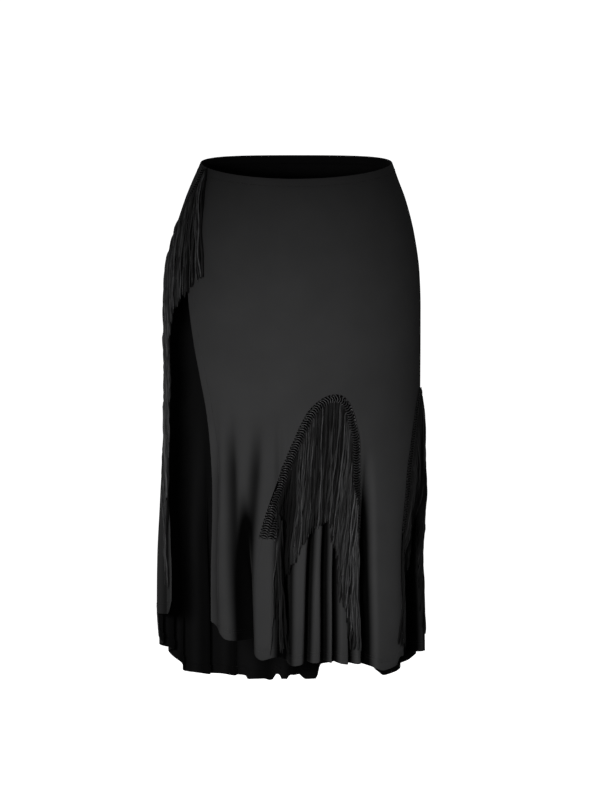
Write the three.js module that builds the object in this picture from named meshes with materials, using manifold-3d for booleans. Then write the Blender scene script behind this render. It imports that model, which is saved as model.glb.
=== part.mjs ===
// A black stretch-jersey dance skirt in its worn, hollow form: fitted over the hip, flared below,
// open down one side. A godet is let in under each of two leaning arches, and a braid with
// hanging fringe covers each arch and the rear edge of the side slit.
// Millimetres, +Z up, the front faces -Y and the slit is towards -X. The origin is the middle of
// the waist, at the height of its side seam. An angle runs round the skirt from 0 at the front
// through 90 at +X; the slit lies between -35 and -76 degrees.
import * as THREE from "three";
import Module from "manifold-3d";

// Driving sizes
const CLOTH = 1.2; // wall of the jersey
const SEAM = 0.36; // gap between two sewn pieces, along the cloth
const BRAID_WIDTH = 13;
const BRAID_THICKNESS = 2;
const BRAID_GAP = 0.4; // braid to the cloth under it
const FRINGE_DROP = 158; // hanging length of a strand
const FRINGE_UNEVEN = 9; // how far strand lengths differ
const LOCK_WIDTH = 2.3;
const LOCK_HEIGHT = 1.5;
const ROOT_REACH = 4; // a lock leaves the braid's edge by this much before it hangs
const LAYERS = 4; // locks hang in this many layers over each other
const LAYER_PITCH = 1.9;
const FIRST_LIFT = 1.4; // middle of the first layer above the cloth's ridges
const FRONT_WAIST_DIP = 14.3; // the waist slopes down to the front by this much
const WAIST_SCOOP = 6.7; // and is scooped by this much more at the middle front and back
const ARCH_TOP = -309; // height of both arches' apexes
const FRONT_ARCH = 19.5; // angle of the front arch's apex
const SIDE_ARCH = 86; // angle of the side arch's apex and of the side seam above it
const EVEN_HEM = -665; // the height that rows of points are laid out to, before the hem's own shape
const HEM_PULL = 110; // how far below the apexes the hem's shape starts to move the rows
const RAD = Math.PI / 180;

// Half width, depth to the front, depth to the back and sideways shift of the section at a height
const BODY = [
  { z: 20, half: 123.5, front: 93, back: 95, shift: 4.5 },
  { z: 0, half: 130.5, front: 97, back: 102, shift: 4.6 },
  { z: -25, half: 140.5, front: 101, back: 110, shift: 3.6 },
  { z: -50, half: 150.3, front: 105, back: 118, shift: 3.2 },
  { z: -100, half: 164.3, front: 110, back: 130, shift: 1.7 },
  { z: -150, half: 172.3, front: 114, back: 137, shift: 0.5 },
  { z: -200, half: 175.3, front: 117, back: 139, shift: -0.8 },
  { z: -265, half: 175.5, front: 121, back: 138, shift: -1 },
  { z: -314, half: 175.5, front: 127, back: 139, shift: -1.2 },
  { z: -400, half: 177.5, front: 136, back: 143, shift: -1.8 },
  { z: -460, half: 180, front: 142, back: 147, shift: -2.8 },
  { z: -540, half: 183.7, front: 148, back: 153, shift: -4.3 },
  { z: -650, half: 186.5, front: 154, back: 160, shift: -2.5 },
  { z: -770, half: 187.5, front: 158, back: 166, shift: -2 },
];

// One arch, measured from its apex: how far its left and right legs stand off at a drop below it
const ARCH = [
  { root: 0, left: 0, right: 0 },
  { root: 1.4, left: -3.5, right: 2.9 },
  { root: 2.76, left: -6.8, right: 5.2 },
  { root: 4.5, left: -11.1, right: 7.6 },
  { root: 6.2, left: -14.4, right: 9.4 },
  { root: 7.6, left: -17.1, right: 10.8 },
  { root: 8.8, left: -19.8, right: 11.1 },
  { root: 9.9, left: -22.4, right: 11.1 },
  { root: 11.7, left: -26.6, right: 10.9 },
  { root: 13.2, left: -30.2, right: 10.9 },
  { root: 15, left: -33.4, right: 11.3 },
  { root: 16.1, left: -35.1, right: 11.9 },
  { root: 17.3, left: -36, right: 12.2 },
  { root: 19.5, left: -37, right: 12.6 },
]; // root is the square root of the drop, so that the rounded top needs few rows
const BRAIDED_DROP = 188; // the braid ends this far below an apex on both legs

// The slit's two edges at a height
const SLIT = [
  { z: 20, front: -66.4, rear: -66.6 },
  { z: -25, front: -66.2, rear: -66.8 },
  { z: -50, front: -64.4, rear: -70.4 },
  { z: -85, front: -61.3, rear: -74.6 },
  { z: -120, front: -58.2, rear: -75.9 },
  { z: -150, front: -55.8, rear: -75 },
  { z: -190, front: -52.7, rear: -73.6 },
  { z: -240, front: -49, rear: -72.4 },
  { z: -285, front: -44.8, rear: -71.9 },
  { z: -330, front: -40.8, rear: -72 },
  { z: -380, front: -38, rear: -72.6 },
  { z: -430, front: -36.5, rear: -71.4 },
  { z: -470, front: -35.9, rear: -68 },
  { z: -510, front: -35.5, rear: -65 },
  { z: -556, front: -35.3, rear: -61.8 },
  { z: -620, front: -35.2, rear: -61.5 },
];
const SLIT_BRAID_FOOT = -432; // the slit's braid ends at this height

// Height of the hem round the skirt
const HEM = [
  { at: -40, z: -604 },
  { at: -35, z: -612.5 },
  { at: -31, z: -627 },
  { at: -28, z: -634 },
  { at: -21.6, z: -638.5 },
  { at: -17, z: -650 },
  { at: -12, z: -659.5 },
  { at: -7, z: -656 },
  { at: -1, z: -668 },
  { at: 5.6, z: -664.5 },
  { at: 12.7, z: -662.5 },
  { at: 18.3, z: -664 },
  { at: 25, z: -667 },
  { at: 31.5, z: -667.5 },
  { at: 35, z: -671 },
  { at: 42, z: -679 },
  { at: 49.5, z: -675 },
  { at: 53, z: -664 },
  { at: 61.5, z: -664.5 },
  { at: 79, z: -669 },
  { at: 90, z: -672 },
  { at: 101.5, z: -677 },
  { at: 112, z: -687 },
  { at: 121, z: -704 },
  { at: 128, z: -718 },
  { at: 134, z: -724 },
  { at: 139, z: -721 },
  { at: 144, z: -712 },
  { at: 154, z: -709 },
  { at: 164, z: -713 },
  { at: 167, z: -727 },
  { at: 169.5, z: -740 },
  { at: 181, z: -735 },
  { at: 189, z: -741 },
  { at: 197, z: -738 },
  { at: 208, z: -729 },
  { at: 224, z: -722 },
  { at: 236, z: -714 },
  { at: 241.5, z: -698 },
  { at: 248, z: -682 },
  { at: 259, z: -668 },
  { at: 266, z: -662 },
  { at: 272, z: -654 },
  { at: 277, z: -632 },
  { at: 283, z: -616 },
  { at: 292, z: -606 },
  { at: 299, z: -586 },
];

// The troughs between the hanging folds: angle where one starts and at the hem, the heights where
// it starts and is fully deep, its depth and its half width
const TROUGHS = [
  { start: -35, hem: -33.2, from: -325, full: -600, deep: 5, half: 8 },
  { start: -26.5, hem: -21.4, from: -315, full: -570, deep: 16, half: 8.5 },
  { start: -15.5, hem: -20, from: -318, full: -590, deep: 10, half: 7 },
  { start: -1.5, hem: -3.8, from: -425, full: -570, deep: 22, half: 8.5 },
  { start: 8.6, hem: 5.4, from: -455, full: -560, deep: 11, half: 4.2 },
  { start: 14.4, hem: 13.4, from: -440, full: -540, deep: 12, half: 4.5 },
  { start: 20.2, hem: 19.3, from: -460, full: -560, deep: 10, half: 4 },
  { start: 26, hem: 25.6, from: -440, full: -560, deep: 11, half: 4.4 },
  { start: 35, hem: 33.8, from: -470, full: -600, deep: 21, half: 6.5 },
  { start: 52, hem: 50.8, from: -520, full: -640, deep: 9, half: 5 },
  { start: 63, hem: 60.5, from: -470, full: -580, deep: 13, half: 4.5 },
  { start: 72, hem: 71, from: -455, full: -580, deep: 15, half: 5 },
  { start: 83, hem: 82, from: -440, full: -580, deep: 16, half: 5 },
  { start: 92, hem: 92.5, from: -450, full: -580, deep: 14, half: 5 },
  { start: 106, hem: 105, from: -350, full: -620, deep: 18, half: 8 },
  { start: 118, hem: 119.5, from: -400, full: -640, deep: 20, half: 8 },
  { start: 135, hem: 134, from: -340, full: -650, deep: 22, half: 9 },
  { start: 148, hem: 149, from: -420, full: -660, deep: 17, half: 8 },
  { start: 163, hem: 164, from: -350, full: -660, deep: 24, half: 9 },
  { start: 178, hem: 180, from: -400, full: -660, deep: 20, half: 8 },
  { start: 193, hem: 194, from: -345, full: -660, deep: 24, half: 9 },
  { start: 208, hem: 209, from: -410, full: -650, deep: 18, half: 8 },
  { start: 224, hem: 223, from: -350, full: -640, deep: 22, half: 9 },
  { start: 238, hem: 239, from: -395, full: -620, deep: 18, half: 8 },
  { start: 252, hem: 253.5, from: -345, full: -600, deep: 20, half: 8.5 },
  { start: 267, hem: 266, from: -400, full: -590, deep: 15, half: 8 },
  { start: 285, hem: 283, from: -440, full: -600, deep: 7, half: 9 },
];

// How far a strand of the slit's fringe leans forwards, by the height of its root
const SLIT_LEAN = [
  { z: 0, lean: 26 },
  { z: -12, lean: 21.5 },
  { z: -30, lean: 18 },
  { z: -70, lean: 15 },
  { z: -150, lean: 14 },
  { z: -200, lean: 13 },
  { z: -300, lean: 11 },
  { z: -440, lean: 11 },
];

// A smooth curve through a table's rows that never overshoots them: one column against another
function curveOf(rows, along, column) {
  const sorted = [...rows].sort((a, b) => a[along] - b[along]);
  const x = sorted.map((row) => row[along]);
  const y = sorted.map((row) => row[column]);
  const rise = x.slice(1).map((next, i) => (y[i + 1] - y[i]) / (next - x[i]));
  const slope = y.map((_, i) => {
    const before = rise[Math.max(i - 1, 0)];
    const after = rise[Math.min(i, rise.length - 1)];
    return before * after <= 0 ? 0 : (2 * before * after) / (before + after);
  });
  return (value) => {
    const at = THREE.MathUtils.clamp(value, x[0], x[x.length - 1]);
    let i = 0;
    while (i < x.length - 2 && at > x[i + 1]) i++;
    const span = x[i + 1] - x[i];
    const t = (at - x[i]) / span;
    const ends = y[i] * (1 + 2 * t) * (1 - t) ** 2 + y[i + 1] * t * t * (3 - 2 * t);
    return ends + span * t * (1 - t) * (slope[i] * (1 - t) - slope[i + 1] * t);
  };
}

const half = curveOf(BODY, "z", "half");
const frontDepth = curveOf(BODY, "z", "front");
const backDepth = curveOf(BODY, "z", "back");
const shift = curveOf(BODY, "z", "shift");
const leftLeg = curveOf(ARCH, "root", "left");
const rightLeg = curveOf(ARCH, "root", "right");
const slitFront = curveOf(SLIT, "z", "front");
const slitRear = curveOf(SLIT, "z", "rear");
const hemHeight = curveOf(HEM, "at", "z");
const slitLean = curveOf(SLIT_LEAN, "z", "lean");

// The skirt's outer form without troughs: the surface that all folds' ridges touch
function envelope(angle, z) {
  const t = angle * RAD;
  const depth = Math.cos(t) > 0 ? frontDepth(z) : backDepth(z);
  return new THREE.Vector3(shift(z) + half(z) * Math.sin(t), -depth * Math.cos(t), z);
}

function outward(angle, z) {
  const t = angle * RAD;
  const depth = Math.cos(t) > 0 ? frontDepth(z) : backDepth(z);
  return new THREE.Vector3(depth * Math.sin(t), -half(z) * Math.cos(t), 0).normalize();
}

// Millimetres along the cloth in one degree
function perDegree(angle, z) {
  const t = angle * RAD;
  const depth = Math.cos(t) > 0 ? frontDepth(z) : backDepth(z);
  return Math.hypot(half(z) * Math.cos(t), depth * Math.sin(t)) * RAD;
}

function apart(angle, other) {
  return ((((angle - other) % 360) + 540) % 360) - 180;
}

function troughAngle(trough, z) {
  const way = THREE.MathUtils.clamp((z - trough.from) / (EVEN_HEM - trough.from), 0, 1);
  return THREE.MathUtils.lerp(trough.start, trough.hem, way);
}

function troughDepth(trough, z) {
  return trough.deep * THREE.MathUtils.smoothstep(-z, -trough.from, -trough.full);
}

function sunk(angle, z) {
  let sum = 0;
  for (const trough of TROUGHS) {
    const off = apart(angle, troughAngle(trough, z)) * perDegree(angle, z);
    sum += troughDepth(trough, z) * Math.exp(-((off / trough.half) ** 2));
  }
  return sum;
}

function cloth(angle, z) {
  return envelope(angle, z).addScaledVector(outward(angle, z), -sunk(angle, z));
}

function clothNormal(angle, z) {
  const step = 0.05;
  const along = cloth(angle + step, z).sub(cloth(angle - step, z));
  const down = cloth(angle, z - step).sub(cloth(angle, z + step));
  return down.cross(along).normalize();
}

function waistHeight(angle) {
  const facing = Math.cos(angle * RAD);
  return -FRONT_WAIST_DIP * facing - WAIST_SCOOP * facing * facing;
}

// A sheet in (angle, height) coordinates, made of rows from top to bottom
class Sheet {
  points = [];
  faces = [];

  row(angles, heightAt) {
    return angles.map((angle) => this.points.push([angle, heightAt(angle)]) - 1);
  }

  // Fills the band between two rows, which may have different numbers of points
  join(upper, lower) {
    const at = (index) => this.points[index][0];
    let i = 0;
    let j = 0;
    while (i < upper.length - 1 || j < lower.length - 1) {
      const lastUpper = i === upper.length - 1;
      const lastLower = j === lower.length - 1;
      const stepUpper = lastUpper ? Infinity : Math.abs(at(upper[i + 1]) - at(lower[j]));
      const stepLower = lastLower ? Infinity : Math.abs(at(upper[i]) - at(lower[j + 1]));
      if (stepUpper <= stepLower) {
        this.faces.push([upper[i], lower[j], upper[i + 1]]);
        i++;
      } else {
        this.faces.push([upper[i], lower[j], lower[j + 1]]);
        j++;
      }
    }
  }

  stack(rows) {
    for (let k = 1; k < rows.length; k++) this.join(rows[k - 1], rows[k]);
  }

  // The closed wall between two offsets from the cloth's surface
  wall(inner, outer) {
    const count = this.points.length;
    const places = new Float32Array(count * 6);
    this.points.forEach(([angle, z], index) => {
      const normal = clothNormal(angle, z);
      const base = cloth(angle, z);
      base.clone().addScaledVector(normal, outer).toArray(places, index * 3);
      base.clone().addScaledVector(normal, inner).toArray(places, (count + index) * 3);
    });
    const triangles = [];
    const edges = new Map();
    for (const [a, b, c] of this.faces) {
      triangles.push(a, b, c, count + a, count + c, count + b);
      for (const [from, to] of [[a, b], [b, c], [c, a]]) {
        if (!edges.delete(`${to},${from}`)) edges.set(`${from},${to}`, [from, to]);
      }
    }
    for (const [from, to] of edges.values()) {
      triangles.push(to, from, count + from, to, count + from, count + to);
    }
    const geometry = new THREE.BufferGeometry();
    geometry.setAttribute("position", new THREE.BufferAttribute(places, 3));
    geometry.setIndex(triangles);
    return geometry;
  }
}

// Angles for one row: both ends, points across each trough, and fill no wider than a step
function spread(from, to, z, widest) {
  const near = 1.2; // closer than this to a neighbour, a point is left out
  const marks = [];
  for (const trough of TROUGHS) {
    if (troughDepth(trough, z) < 0.8) continue;
    for (const side of [-1.5, -0.7, 0, 0.7, 1.5]) {
      const middle = troughAngle(trough, z);
      const turn = Math.round(((from + to) / 2 - middle) / 360) * 360;
      marks.push(middle + turn + (side * trough.half) / perDegree(middle, z));
    }
  }
  const kept = [from];
  for (const mark of marks.sort((a, b) => a - b)) {
    const room = near / perDegree(mark, z);
    if (mark - kept[kept.length - 1] > room && to - mark > room) kept.push(mark);
  }
  kept.push(to);
  const filled = [kept[0]];
  for (let k = 1; k < kept.length; k++) {
    const gap = kept[k] - kept[k - 1];
    const parts = Math.max(1, Math.ceil(gap / widest - 0.01));
    for (let part = 1; part <= parts; part++) filled.push(kept[k - 1] + (gap * part) / parts);
  }
  return filled;
}

const YOKE_ROWS = [-28, -62, -105, -155, -210, -262]; // heights between the waist and the apexes
const LOWER_ROOTS = [1.4, 2.76, 4.5, 6.2, 7.9, 9.5, 11, 12.4, 13.8, 15.2, 16.6, 17.9];
const YOKE_STEP = 9; // widest step between points, in degrees
const LOWER_STEP = 7.5;

// Height of a row below the apexes; the rows stretch so that the last one is the hem
function rowHeight(root, angle) {
  const even = ARCH_TOP - root * root;
  const pull = THREE.MathUtils.clamp(
    (ARCH_TOP - HEM_PULL - even) / (ARCH_TOP - HEM_PULL - EVEN_HEM), 0, 1);
  return even + (hemHeight(angle) - EVEN_HEM) * pull;
}

const HEM_ROOT = Math.sqrt(ARCH_TOP - EVEN_HEM);

// The angle where an edge, given as a function of height, meets a row
function edgeOnRow(edge, root) {
  let angle = edge(ARCH_TOP - root * root);
  for (let turn = 0; turn < 8; turn++) angle = edge(rowHeight(root, angle));
  return angle;
}

function legAt(leg, apex) {
  return (z) => apex + leg(Math.sqrt(Math.max(ARCH_TOP - z, 0)));
}

function yokeRows(sheet, from, to) {
  const rows = [sheet.row(spread(from(0), to(0), 0, YOKE_STEP), waistHeight)];
  for (const z of YOKE_ROWS) {
    const slope = THREE.MathUtils.clamp(1 + z / 110, 0, 1); // rows follow the sloping waist less and less
    const heightAt = (angle) => z + waistHeight(angle) * slope;
    rows.push(sheet.row(spread(from(z), to(z), z, YOKE_STEP), heightAt));
  }
  return rows;
}

function lowerRows(sheet, from, to, drop = 0) {
  return [...LOWER_ROOTS, HEM_ROOT].map((root) => {
    const left = edgeOnRow(from, root);
    const right = edgeOnRow(to, root);
    const middle = rowHeight(root, (left + right) / 2);
    return sheet.row(spread(left, right, middle, LOWER_STEP), (angle) => rowHeight(root, angle) - drop);
  });
}

const seamAngle = SEAM / 2 / perDegree(SIDE_ARCH, ARCH_TOP);
const slitRearTurned = (z) => slitRear(z) + 360;

// Front panel: a yoke over the front and both hips, and two tongues that hang beside the front arch
function frontPanel() {
  const sheet = new Sheet();
  const rows = yokeRows(sheet, slitFront, () => SIDE_ARCH - seamAngle);
  const toArch = spread(slitFront(ARCH_TOP), FRONT_ARCH, ARCH_TOP, LOWER_STEP);
  const fromArch = spread(FRONT_ARCH, SIDE_ARCH - seamAngle, ARCH_TOP, LOWER_STEP);
  const level = sheet.row([...toArch, ...fromArch.slice(1)], () => ARCH_TOP);
  sheet.stack([...rows, level]);
  const leftTop = level.slice(0, toArch.length);
  const rightTop = level.slice(toArch.length - 1);
  sheet.stack([leftTop, ...lowerRows(sheet, slitFront, legAt(leftLeg, FRONT_ARCH))]);
  const between = lowerRows(sheet, legAt(rightLeg, FRONT_ARCH), legAt(leftLeg, SIDE_ARCH));
  sheet.stack([rightTop, ...between]);
  return sheet.wall(-CLOTH, 0);
}

// Back panel: from the side seam round the back to the slit's rear edge
function backPanel() {
  const sheet = new Sheet();
  const rows = yokeRows(sheet, () => SIDE_ARCH + seamAngle, slitRearTurned);
  const angles = spread(SIDE_ARCH + seamAngle, slitRearTurned(ARCH_TOP), ARCH_TOP, LOWER_STEP);
  const level = sheet.row(angles, () => ARCH_TOP);
  const lower = lowerRows(sheet, legAt(rightLeg, SIDE_ARCH), slitRearTurned);
  sheet.stack([...rows, level, ...lower]);
  return sheet.wall(-CLOTH, 0);
}

// Godet: the flared piece let in under an arch, with a pointed round head
function godet(apex) {
  const sheet = new Sheet();
  const inset = SEAM / perDegree(apex, ARCH_TOP);
  const headDrop = 0.55;
  const head = sheet.row([apex], () => ARCH_TOP - headDrop);
  const left = (z) => legAt(leftLeg, apex)(z) + inset;
  const right = (z) => legAt(rightLeg, apex)(z) - inset;
  sheet.stack([head, ...lowerRows(sheet, left, right, headDrop)]);
  return sheet.wall(-CLOTH, 0);
}

// The line of an arch's braid, from the foot of its left leg over the apex to the other foot
function archLine(apex) {
  const footRoot = Math.sqrt(BRAIDED_DROP);
  const steps = 16;
  const line = [];
  for (let k = -steps; k <= steps; k++) {
    const root = (Math.abs(k) / steps) ** 1.15 * footRoot;
    const leg = k < 0 ? leftLeg : rightLeg;
    line.push([apex + leg(root), ARCH_TOP - root * root]);
  }
  return line;
}

// The line of the slit's braid, down the rear edge with its outer half on the back panel
function slitLine() {
  const steps = 20;
  const top = waistHeight(slitRear(0)) - 2;
  const line = [];
  for (let k = 0; k <= steps; k++) {
    const z = THREE.MathUtils.lerp(top, SLIT_BRAID_FOOT, k / steps);
    line.push([slitRear(z) - BRAID_WIDTH / 2 / perDegree(slitRear(z), z), z]);
  }
  return line;
}

// Walks a line of (angle, height) points in millimetres along the cloth
class Walk {
  constructor(line) {
    this.line = line;
    this.reach = [0];
    for (let k = 1; k < line.length; k++) {
      const [angle, z] = line[k];
      const across = (angle - line[k - 1][0]) * perDegree(angle, z);
      this.reach.push(this.reach[k - 1] + Math.hypot(across, z - line[k - 1][1]));
    }
    this.length = this.reach[this.reach.length - 1];
  }

  at(distance) {
    let k = 1;
    while (k < this.line.length - 1 && distance > this.reach[k]) k++;
    const t = (distance - this.reach[k - 1]) / (this.reach[k] - this.reach[k - 1]);
    const [angle, z] = this.line[k - 1];
    return [THREE.MathUtils.lerp(angle, this.line[k][0], t), THREE.MathUtils.lerp(z, this.line[k][1], t)];
  }

  // The point beside the line: a positive offset is to the right of the walking direction
  beside(distance, offset) {
    const [angle, z] = this.at(distance);
    const behind = this.at(Math.max(distance - 2, 0));
    const ahead = this.at(Math.min(distance + 2, this.length));
    const scale = perDegree(angle, z);
    const way = new THREE.Vector2((ahead[0] - behind[0]) * scale, ahead[1] - behind[1]).normalize();
    return [angle + (way.y * offset) / scale, z - way.x * offset];
  }
}

function braid(walk) {
  const sheet = new Sheet();
  const steps = Math.round(walk.length / 11);
  const rows = [];
  for (let k = 0; k <= steps; k++) {
    const distance = (walk.length * k) / steps;
    const across = [-BRAID_WIDTH / 2, 0, BRAID_WIDTH / 2].map((offset) => walk.beside(distance, offset));
    rows.push(across.map((point) => sheet.points.push(point) - 1));
  }
  for (let k = 1; k <= steps; k++) {
    for (const side of [0, 1]) {
      const [a, b] = [rows[k - 1][side], rows[k - 1][side + 1]];
      const [c, d] = [rows[k][side], rows[k][side + 1]];
      sheet.faces.push([a, b, c], [b, d, c]);
    }
  }
  return sheet;
}

// A number from 0 to 1 that looks random but is the same each time
function scatter(index) {
  const value = Math.sin(index * 12.9898 + 4.1) * 43758.5453;
  return value - Math.floor(value);
}

// One hanging lock, a three-sided closed tube from inside the braid to its loose tip
function lock(walk, { distance, side, lean, bends }, index) {
  const edge = (side * BRAID_WIDTH) / 2;
  const root = walk.beside(distance, edge - side * 2.2);
  const layer = index % LAYERS;
  const out = walk.beside(distance, edge + side * (ROOT_REACH - 0.4 * layer));
  const lift = FIRST_LIFT + layer * LAYER_PITCH;
  const reach = FRINGE_DROP - FRINGE_UNEVEN * scatter(index);
  const path = [cloth(...root).addScaledVector(clothNormal(...root), BRAID_GAP + BRAID_THICKNESS / 2)];
  const angles = [root[0]];
  for (let bend = 0; bend <= bends; bend++) {
    const z = out[1] - THREE.MathUtils.lerp(3, reach, bend / bends);
    const angle = out[0] + (lean * bend) / bends / perDegree(out[0], ARCH_TOP);
    angles.push(angle);
    path.push(envelope(angle, z).addScaledVector(outward(angle, z), lift));
  }
  const places = [];
  path.forEach((point, k) => {
    const up = outward(angles[k], point.z);
    const across = new THREE.Vector3(-up.y, up.x, 0);
    const slim = k === path.length - 1 ? 0.55 : 1;
    const foot = point.clone().addScaledVector(up, -LOCK_HEIGHT / 3);
    const corners = [
      foot.clone().addScaledVector(across, (-LOCK_WIDTH / 2) * slim),
      foot.clone().addScaledVector(across, (LOCK_WIDTH / 2) * slim),
      point.clone().addScaledVector(up, (LOCK_HEIGHT * 2) / 3),
    ];
    corners.forEach((corner) => places.push(...corner.toArray()));
  });
  const triangles = [0, 2, 1];
  for (let k = 1; k < path.length; k++) {
    for (let corner = 0; corner < 3; corner++) {
      const next = (corner + 1) % 3;
      const [a, b] = [3 * k - 3 + corner, 3 * k - 3 + next];
      triangles.push(a, b, 3 * k + corner, b, 3 * k + next, 3 * k + corner);
    }
  }
  const last = 3 * (path.length - 1);
  triangles.push(last, last + 1, last + 2);
  return { places: new Float32Array(places), triangles: new Uint32Array(triangles) };
}

const wasm = await Module();
wasm.setup();

function solid(places, triangles) {
  return new wasm.Manifold(new wasm.Mesh({ numProp: 3, vertProperties: places, triVerts: triangles }));
}

// Braid and locks as one piece: every lock's root is fused into the braid
function fringe(walk, roots) {
  const strip = braid(walk).wall(BRAID_GAP, BRAID_GAP + BRAID_THICKNESS);
  let made = solid(strip.getAttribute("position").array, new Uint32Array(strip.getIndex().array));
  roots.forEach((root, index) => {
    const { places, triangles } = lock(walk, root, index);
    made = made.add(solid(places, triangles));
  });
  const mesh = made.getMesh();
  const geometry = new THREE.BufferGeometry();
  geometry.setAttribute("position", new THREE.BufferAttribute(mesh.vertProperties, 3));
  geometry.setIndex(new THREE.BufferAttribute(mesh.triVerts, 1));
  return geometry;
}

const ARCH_PITCH = 6.4; // between two locks of an arch, where they leave the braid
const SLIT_PITCH = 7.4;
const LEG_LEAN = -25; // the upper locks of an arch's upright leg lean into the arch by this much
const FOOT_LEAN = -9; // and the lowest ones by this much

// Distances along a braid whose locks leave its edge at an even pitch
function evenRoots(walk, side, pitch) {
  const distances = [];
  let before = null;
  for (let distance = 3; distance < walk.length - 3; distance += 0.2) {
    const point = cloth(...walk.beside(distance, side * (BRAID_WIDTH / 2 + ROOT_REACH)));
    if (before && point.distanceTo(before) < pitch) continue;
    before = point;
    distances.push(distance);
  }
  return distances;
}

function archFringe(apex) {
  const walk = new Walk(archLine(apex));
  const roots = evenRoots(walk, 1, ARCH_PITCH).map((distance) => {
    const [angle, z] = walk.beside(distance, BRAID_WIDTH / 2 + ROOT_REACH);
    const across = (angle - apex) * perDegree(apex, ARCH_TOP);
    const onLeg = THREE.MathUtils.clamp((across + 15) / 30, 0, 1);
    const nearFoot = THREE.MathUtils.smoothstep(ARCH_TOP - z, 60, BRAIDED_DROP + 10);
    const lean = onLeg * THREE.MathUtils.lerp(LEG_LEAN, FOOT_LEAN, nearFoot);
    return { distance, side: 1, lean, bends: 3 };
  });
  return fringe(walk, roots);
}

function slitFringe() {
  const walk = new Walk(slitLine());
  const roots = evenRoots(walk, -1, SLIT_PITCH).map((distance) => {
    const [angle, z] = walk.at(distance);
    return { distance, side: -1, lean: slitLean(z) * perDegree(angle, ARCH_TOP), bends: 5 };
  });
  return fringe(walk, roots);
}

const jersey = new THREE.MeshStandardMaterial({ color: 0x2b2b2c, roughness: 0.85, metalness: 0 });
const strands = new THREE.MeshStandardMaterial({ color: 0x1a1a1b, roughness: 0.45, metalness: 0 });

const skirt = new THREE.Group();
for (const [name, geometry, material] of [
  ["front_panel", frontPanel(), jersey],
  ["back_panel", backPanel(), jersey],
  ["front_godet", godet(FRONT_ARCH), jersey],
  ["side_godet", godet(SIDE_ARCH), jersey],
  ["front_arch_fringe", archFringe(FRONT_ARCH), strands],
  ["side_arch_fringe", archFringe(SIDE_ARCH), strands],
  ["slit_fringe", slitFringe(), strands],
]) {
  const mesh = new THREE.Mesh(geometry, material);
  mesh.name = name;
  skirt.add(mesh);
}

export default skirt;
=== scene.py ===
"""A black stretch-jersey dance skirt with leaning arches, godets, braid and hanging fringe.

Metres, +Z up, the front faces -Y, the slit is towards -X and the origin is the middle of the waist.
An angle runs round the skirt in degrees, from 0 at the front through 90 at +X.
"""

import math

import bmesh
import bpy
import numpy as np
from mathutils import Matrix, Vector


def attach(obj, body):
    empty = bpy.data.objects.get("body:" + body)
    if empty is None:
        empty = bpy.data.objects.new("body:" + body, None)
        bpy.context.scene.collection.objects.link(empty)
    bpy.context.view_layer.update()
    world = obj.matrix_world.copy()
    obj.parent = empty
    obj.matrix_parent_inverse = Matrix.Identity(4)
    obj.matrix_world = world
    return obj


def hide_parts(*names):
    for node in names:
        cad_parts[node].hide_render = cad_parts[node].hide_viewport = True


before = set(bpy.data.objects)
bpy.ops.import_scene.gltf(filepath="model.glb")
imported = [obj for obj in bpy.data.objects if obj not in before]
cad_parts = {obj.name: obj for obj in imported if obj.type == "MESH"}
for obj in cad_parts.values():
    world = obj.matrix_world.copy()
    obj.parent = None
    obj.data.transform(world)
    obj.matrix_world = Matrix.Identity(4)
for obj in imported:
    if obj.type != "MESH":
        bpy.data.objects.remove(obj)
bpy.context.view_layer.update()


# The front panel is one cut piece of matt black stretch jersey. It runs from the slit over the
# front and one hip to the side seam, and the front arch is cut out of it from the hem up. Its
# waist, hem and slit edge are turned to the inside; its arch and side edges are sewn.

JERSEY_THICKNESS = 0.0008
BODY = [  # height, half width, depth to the front, depth to the back and sideways shift
    (0.020, 0.1235, 0.093, 0.095, 0.0045),
    (0.000, 0.1305, 0.097, 0.102, 0.0046),
    (-0.025, 0.1405, 0.101, 0.110, 0.0036),
    (-0.050, 0.1503, 0.105, 0.118, 0.0032),
    (-0.100, 0.1643, 0.110, 0.130, 0.0017),
    (-0.150, 0.1723, 0.114, 0.137, 0.0005),
    (-0.200, 0.1753, 0.117, 0.139, -0.0008),
    (-0.265, 0.1755, 0.121, 0.138, -0.0010),
    (-0.314, 0.1755, 0.127, 0.139, -0.0012),
    (-0.400, 0.1775, 0.136, 0.143, -0.0018),
    (-0.460, 0.1800, 0.142, 0.147, -0.0028),
    (-0.540, 0.1837, 0.148, 0.153, -0.0043),
    (-0.650, 0.1865, 0.154, 0.160, -0.0025),
    (-0.770, 0.1875, 0.158, 0.166, -0.0020),
]
WAIST_SLOPE = 0.0143
WAIST_SCOOP = 0.0067

ARCH_TOP = -0.309
FRONT_ARCH = 19.5
SIDE_ARCH = 86.0
ARCH = [  # root of the drop below the apex in millimetres, left and right leg in degrees
    (0.0, 0.0, 0.0),
    (1.4, -3.5, 2.9),
    (2.76, -6.8, 5.2),
    (4.5, -11.1, 7.6),
    (6.2, -14.4, 9.4),
    (7.6, -17.1, 10.8),
    (8.8, -19.8, 11.1),
    (9.9, -22.4, 11.1),
    (11.7, -26.6, 10.9),
    (13.2, -30.2, 10.9),
    (15.0, -33.4, 11.3),
    (16.1, -35.1, 11.9),
    (17.3, -36.0, 12.2),
    (19.5, -37.0, 12.6),
]

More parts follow.
